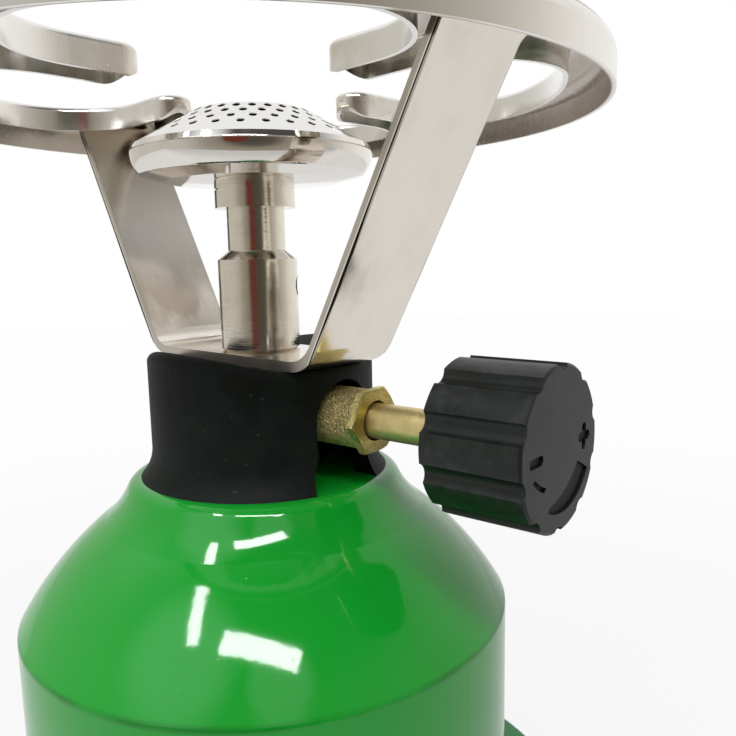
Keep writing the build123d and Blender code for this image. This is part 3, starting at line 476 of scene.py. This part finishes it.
# ---------------------------------------------------------------- collar
# The collar is a cap of matt black nitrile rubber, pushed over the valve and cut away round the
# boss. Its skin is slightly mottled, with faint flow lines and pale dust, most of it at the foot.
DUSTY_BELOW, CLEAN_ABOVE = 0.1016, 0.1024
NITRILE_BLACK, NITRILE_WORN = (0.0016, 0.0036, 0.0025), (0.0055, 0.0092, 0.0068)
PALE_SPECK, PALE_DUST = (0.08, 0.09, 0.085), (0.16, 0.18, 0.165)
skin = Finish(bpy.data.materials.new("black_nitrile"))
mottle = grain(skin, spot=0.006, detail=4)
flow = grain(skin, spot=0.0022, detail=3, stretch=(1, 1, 7))
fine = grain(skin, spot=0.00030, detail=2)
speck = grain(skin, spot=0.0007, detail=1).rise(0.74, 0.80)
at_foot = 1 - skin.axes()[2].rise(DUSTY_BELOW, CLEAN_ABOVE)
foot_dust = at_foot * grain(skin, spot=0.0008, detail=3).rise(0.50, 0.66)
black = skin.mix(mottle.rise(0.3, 0.75), NITRILE_BLACK, NITRILE_WORN)
black = skin.mix(speck * 0.5, black, PALE_SPECK)
close(skin, colour=skin.mix(foot_dust * 0.6, black, PALE_DUST),
      roughness=mottle * 0.16 + flow * 0.08 + 0.50, relief=fine * 0.5 + flow * 1.2 + mottle,
      depth=0.00006, Specular_IOR_Level=0.18)
dress("collar", skin)

# ---------------------------------------------------------------- knob
# The knob is moulded black phenolic with ten flutes, a plus, a minus and a wedge sunk in its
# face. The face is sand-textured and greyer and the flutes are smoother; the sunk marks are
# painted shade, near-black in their hollows.
FACE_PLACE, FACE_START, FACE_END = 0.0635, 0.0005, 0.0002
MARK_BOTTOM, MARK_TOP = 0.0010, 0.0009
MARKS_WITHIN, MARKS_END = 0.0113, 0.0115
RUBBED_FROM, RUBBED_FULLY = 0.0120, 0.0128
PHENOLIC_BLACK, PHENOLIC_CLOUD = (0.0040, 0.0066, 0.0053), (0.0080, 0.0115, 0.0098)
FACE_GREY, FACE_CLOUD = (0.0080, 0.0090, 0.0088), (0.0130, 0.0145, 0.0142)
RUBBED_GREY, SUNK_SHADE_BLACK = (0.030, 0.034, 0.032), (0.0008, 0.0008, 0.0008)
phenolic = Finish(bpy.data.materials.new("black_phenolic"))
x, y, z = phenolic.axes()
from_axis = diagonal(y, z - VALVE_HEIGHT)
face = x.rise(FACE_PLACE - FACE_START, FACE_PLACE - FACE_END)
fine = grain(phenolic, spot=0.00028, detail=2)
cloud = grain(phenolic, spot=0.005, detail=4)
rubbed = grain(phenolic, spot=0.002, detail=4).rise(0.4, 0.7)
rubbed = from_axis.rise(RUBBED_FROM, RUBBED_FULLY) * rubbed
within_marks = 1 - from_axis.rise(MARKS_WITHIN, MARKS_END)
# Painted shade: the sunk marks are near-black and rougher, as their hollows lie in shade.
sunk_shade = (1 - face) * x.rise(FACE_PLACE - MARK_BOTTOM, FACE_PLACE - MARK_TOP) * within_marks
black = phenolic.mix(cloud.rise(0.3, 0.8), PHENOLIC_BLACK, PHENOLIC_CLOUD)
black = phenolic.mix(rubbed * 0.4, black, RUBBED_GREY)
black = phenolic.mix(face, black, phenolic.mix(cloud, FACE_GREY, FACE_CLOUD))
close(phenolic, colour=phenolic.mix(sunk_shade, black, SUNK_SHADE_BLACK),
      roughness=face * 0.10 + cloud * 0.10 + sunk_shade * 0.3 + 0.30,
      relief=fine * (face * 0.8 + 0.4) + cloud * 0.6, depth=0.00005, Specular_IOR_Level=0.35)
dress("knob", phenolic)

# ---------------------------------------------------------------- pot bracket
# The bracket is one strip of nickel-plated spring steel bent into a V and buffed along its
# length. Its sheared edges are greyer and carry a painted highlight and a painted near-black
# line, and the faces that look at the burner carry a brown painted reflection near the top.
STRIP_TURN, STRIP_LEAN = math.radians(-5.25), math.radians(30.05)
STRIP_BEND_REACH, STRIP_BEND_HEIGHT = 0.02373, 0.1259
FACE_BLUR, EDGE_BLUR, EDGE_LINE_BLUR = 0.0002, 0.00005, 0.00004
SHEARED_FROM = 0.0091
GLINT_START, GLINT_END = 0.0001, 0.0003
EDGE_LINE_START, EDGE_LINE_END, RAGGED_BY, DEEPER_BY = 0.00032, 0.0005, 0.0002, 0.0003
DEEPEST_HEIGHT, DEEPEST_HALF, DEEPER_WITHIN = 0.1415, 0.003, 0.013
REFLECTION_START, REFLECTION_FULL = 0.150, 0.172
PATCH_START, PATCH_FULL, PATCH_FADES, PATCH_END = 0.128, 0.133, 0.134, 0.150
NICKEL, SMEARED_NICKEL = (0.80, 0.75, 0.675), (0.71, 0.655, 0.58)
REFLECTION_BROWN, SHEARED_STEEL = (0.36, 0.285, 0.205), (0.54, 0.49, 0.44)
SHEAR_GLINT, EDGE_LINE_BLACK = (0.98, 0.97, 0.95), (0.012, 0.009, 0.007)
strip = Finish(bpy.data.materials.new("buffed_nickel"))
x, y, z = strip.axes()
buffed = grain(strip, spot=0.00035, detail=3, stretch=(30, 1, 60))
waves = grain(strip, spot=0.010, detail=2)
smear = grain(strip, spot=0.005, detail=4, stretch=(1, 1, 2)).rise(0.45, 0.8)
ragged = grain(strip, spot=0.006, detail=3, stretch=(1, 1, 3))
reach = (x * math.cos(STRIP_TURN) + y * math.sin(STRIP_TURN)).size()
across = y * math.cos(STRIP_TURN) - x * math.sin(STRIP_TURN)
above_bend = z - STRIP_BEND_HEIGHT
depth = (reach - STRIP_BEND_REACH) * math.cos(STRIP_LEAN) - above_bend * math.sin(STRIP_LEAN)
inner = 1 - depth.past(0, FACE_BLUR)
sheared = across.size().past(SHEARED_FROM, EDGE_BLUR)
# Painted highlight: a near-white glint runs along each sheared edge.
glint = depth.past(GLINT_START, EDGE_BLUR) * (1 - depth.past(GLINT_END, EDGE_BLUR))
# A near-black line is painted along each sheared edge, beside the painted highlight, wider at mid
# height.
deeper = 1 - (z - DEEPEST_HEIGHT).size().rise(DEEPEST_HALF, DEEPER_WITHIN)
ragged_depth = depth - ragged * RAGGED_BY - deeper * DEEPER_BY
painted_edge_line = depth.past(EDGE_LINE_START, EDGE_LINE_BLUR) * (1 - ragged_depth.past(EDGE_LINE_END, EDGE_LINE_BLUR))
# Painted reflection: the inner faces turn brown near the top, with a ragged patch lower down.
painted_reflection_above = z.rise(REFLECTION_START, REFLECTION_FULL) * 0.92
painted_reflection_patch = z.rise(PATCH_START, PATCH_FULL) * (1 - z.rise(PATCH_FADES, PATCH_END))
painted_reflection_patch = painted_reflection_patch * ragged.rise(0.35, 0.6) * 0.5
nickel = strip.mix(smear * 0.35, NICKEL, SMEARED_NICKEL)
nickel = strip.mix(inner * painted_reflection_above.larger(painted_reflection_patch), nickel, REFLECTION_BROWN)
nickel = strip.mix(sheared * 0.8, nickel, SHEARED_STEEL)
nickel = strip.mix(sheared * glint, nickel, SHEAR_GLINT)
close(strip, colour=strip.mix(sheared * painted_edge_line, nickel, EDGE_LINE_BLACK),
      roughness=buffed * 0.08 + smear * 0.08 + sheared * 0.15 + 0.12,
      relief=buffed * 0.25 + waves * 1.5, depth=0.00002, Metallic=1.0)
dress("pot_bracket", strip)

# ---------------------------------------------------------------- burner tube and ferrule
# The mixing tube and the ferrule under the bowl are turned from steel bar and nickel plated.
# Fine tool rings run round them, with a few coarser ones and some smears of heat.
TURNED_NICKEL, DULLED_NICKEL = (0.78, 0.735, 0.66), (0.62, 0.57, 0.48)
turned = Finish(bpy.data.materials.new("turned_nickel"))
lines = grain(turned, spot=0.00016, detail=3, stretch=(60, 60, 1))
coarse = grain(turned, spot=0.0008, detail=2, stretch=(40, 40, 1))
smear = grain(turned, spot=0.003, detail=4).rise(0.45, 0.8)
close(turned, colour=turned.mix(smear * 0.4 + coarse * 0.3, TURNED_NICKEL, DULLED_NICKEL),
      roughness=lines * 0.08 + smear * 0.06 + 0.08, relief=lines * 0.8 + coarse * 1.6,
      depth=0.00002, Metallic=1.0)
dress("burner_tube", turned)
dress("burner_ferrule", turned)

# ---------------------------------------------------------------- burner bowl
# The bowl is the lower half of the head, spun from thin steel and chromed to a mirror. Its floor
# is nearly flat, a sloping band leads to the rounded wall, and the inside is painted shade,
# near-black and rough.
FLOOR_START, FLOOR_HEIGHT, FLOOR_SLOPE = 0.00765, 0.1585, 0.0452
BAND_START, BAND_HEIGHT, BAND_SLOPE = 0.0165, 0.1589, 0.2366
WALL_CENTRE, WALL_RADIUS, WALL_HEIGHT = 0.01725, 0.0055, 0.1639
LIP_RISE, LIP_LEAN = 0.0002, 0.534
MID_SHEET = 0.00033
BOWL_CHROME, BOWL_SMEAR, BOWL_INSIDE_SHADE = (0.80, 0.765, 0.725), (0.68, 0.63, 0.56), (0.012, 0.011, 0.010)
bowl = Finish(bpy.data.materials.new("chromed_bowl"))
x, y, z = bowl.axes()
radius = diagonal(x, y)
over_floor = z - (radius - FLOOR_START).larger(0.0) * FLOOR_SLOPE - FLOOR_HEIGHT
over_band = z - (radius - BAND_START) * BAND_SLOPE - BAND_HEIGHT
over_band = over_band * math.cos(math.atan(BAND_SLOPE))
lip_radius = radius + (z - WALL_HEIGHT - LIP_RISE).larger(0.0) * LIP_LEAN
out, down = (lip_radius - WALL_CENTRE).larger(0.0), (WALL_HEIGHT - z).larger(0.0)
within_wall = WALL_RADIUS - diagonal(out, down)
inside = over_floor.smaller(over_band).smaller(within_wall).over(MID_SHEET)
spun = grain(bowl, spot=0.0003, detail=2, stretch=(40, 40, 1))
smear = grain(bowl, spot=0.003, detail=4).rise(0.5, 0.85)
chrome = bowl.mix(smear * 0.4, BOWL_CHROME, BOWL_SMEAR)
# Painted shade: the inside of the head is near-black and rough.
close(bowl, colour=bowl.mix(inside, chrome, BOWL_INSIDE_SHADE), roughness=inside * 0.6 + smear * 0.08 + 0.055,
      relief=spun, depth=0.000006, Metallic=1.0)
dress("burner_bowl", bowl)

# ---------------------------------------------------------------- burner dome
# The dome closes the head. It is pressed from the same thin steel, pierced with rows of small
# round holes and chromed, and its rim is a short cone. Its inside is painted shade, near-black
# and rough, seen through the holes.
CROWN_RADIUS, CROWN_TOP = 0.0730, 0.172478
CONE_START, CONE_HEIGHT, CONE_SLOPE = 0.0222, 0.16513, math.tan(math.radians(30))
SKIN_START, SKIN_END = 0.00012, 0.00018
DOME_CHROME, DOME_SMEAR, DOME_INSIDE_SHADE = (0.80, 0.79, 0.77), (0.70, 0.67, 0.62), (0.008, 0.007, 0.007)
dome = Finish(bpy.data.materials.new("chromed_dome"))
x, y, z = dome.axes()
radius = diagonal(x, y)
crown = (CROWN_RADIUS ** 2 - radius * radius).power(0.5) + (CROWN_TOP - CROWN_RADIUS)
cone = (CONE_START - radius) * CONE_SLOPE + CONE_HEIGHT
inside = (crown.smaller(cone) - z).rise(SKIN_START, SKIN_END)
smear = grain(dome, spot=0.003, detail=4).rise(0.5, 0.85)
chrome = dome.mix(smear * 0.4, DOME_CHROME, DOME_SMEAR)
# Painted shade: the inside of the dome is near-black and rough.
close(dome, colour=dome.mix(inside, chrome, DOME_INSIDE_SHADE),
      roughness=inside * 0.6 + smear * 0.10 + 0.12, relief=grain(dome, spot=0.0006, detail=2),
      depth=0.000008, Metallic=1.0)
dress("burner_dome", dome)

# ---------------------------------------------------------------- pot ring
# The ring is pressed from one sheet, its rim and four fingers flanged down, and bright nickel
# plated. Polishing lines run round it, the fingers have a slight heat haze at their tips, and
# the inside of the rim is browned by the flame.
TIP_RADIUS, HAZE_END = 0.026, 0.040
STAIN_START, STAIN_FULL, RIM_INSIDE, RIM_OUTSIDE = 0.0625, 0.0632, 0.0650, 0.0652
POLISH_PER_METRE, POLISH_WANDER = 9000, 9
RING_NICKEL, RING_SMEAR = (0.84, 0.82, 0.795), (0.76, 0.73, 0.69)
HEAT_HAZE, RIM_BROWN = (0.60, 0.52, 0.40), (0.38, 0.31, 0.25)
ring = Finish(bpy.data.materials.new("bright_nickel"))
radius = diagonal(*ring.axes()[:2])
wander = grain(ring, spot=0.004, detail=3) * POLISH_WANDER
polish = (radius * POLISH_PER_METRE + wander).sine() * 0.5 + 0.5
waves = grain(ring, spot=0.008, detail=2)
tips = 1 - radius.rise(TIP_RADIUS, HAZE_END)
haze = tips * grain(ring, spot=0.004, detail=4).rise(0.3, 0.7)
stained = radius.rise(STAIN_START, STAIN_FULL) * (1 - radius.rise(RIM_INSIDE, RIM_OUTSIDE))
smear = grain(ring, spot=0.004, detail=4).rise(0.45, 0.8)
bright = ring.mix(smear * 0.25, RING_NICKEL, RING_SMEAR)
bright = ring.mix(haze * 0.5, bright, HEAT_HAZE)
close(ring, colour=ring.mix(stained * 0.65, bright, RIM_BROWN),
      roughness=smear * 0.06 + haze * 0.10 + stained * 0.10 + 0.17,
      relief=polish * 0.10 + waves * 2.0, depth=0.00002, Metallic=1.0)
dress("pot_ring", ring)

# ---------------------------------------------------------------- ring rivets
# Four small steel rivets, headed cold and plated with the strip, hold the pot ring to the
# bracket's tabs. Their heads are slightly dinged by the setting tool.
RIVET_BRIGHT, RIVET_DULL = (0.74, 0.72, 0.69), (0.60, 0.57, 0.53)
rivet = Finish(bpy.data.materials.new("bright_rivet"))
ding = grain(rivet, spot=0.0008, detail=3)
close(rivet, colour=rivet.mix(ding, RIVET_BRIGHT, RIVET_DULL), roughness=ding * 0.2 + 0.15,
      relief=ding, depth=0.00003, Metallic=1.0)
dress("ring_rivets", rivet)
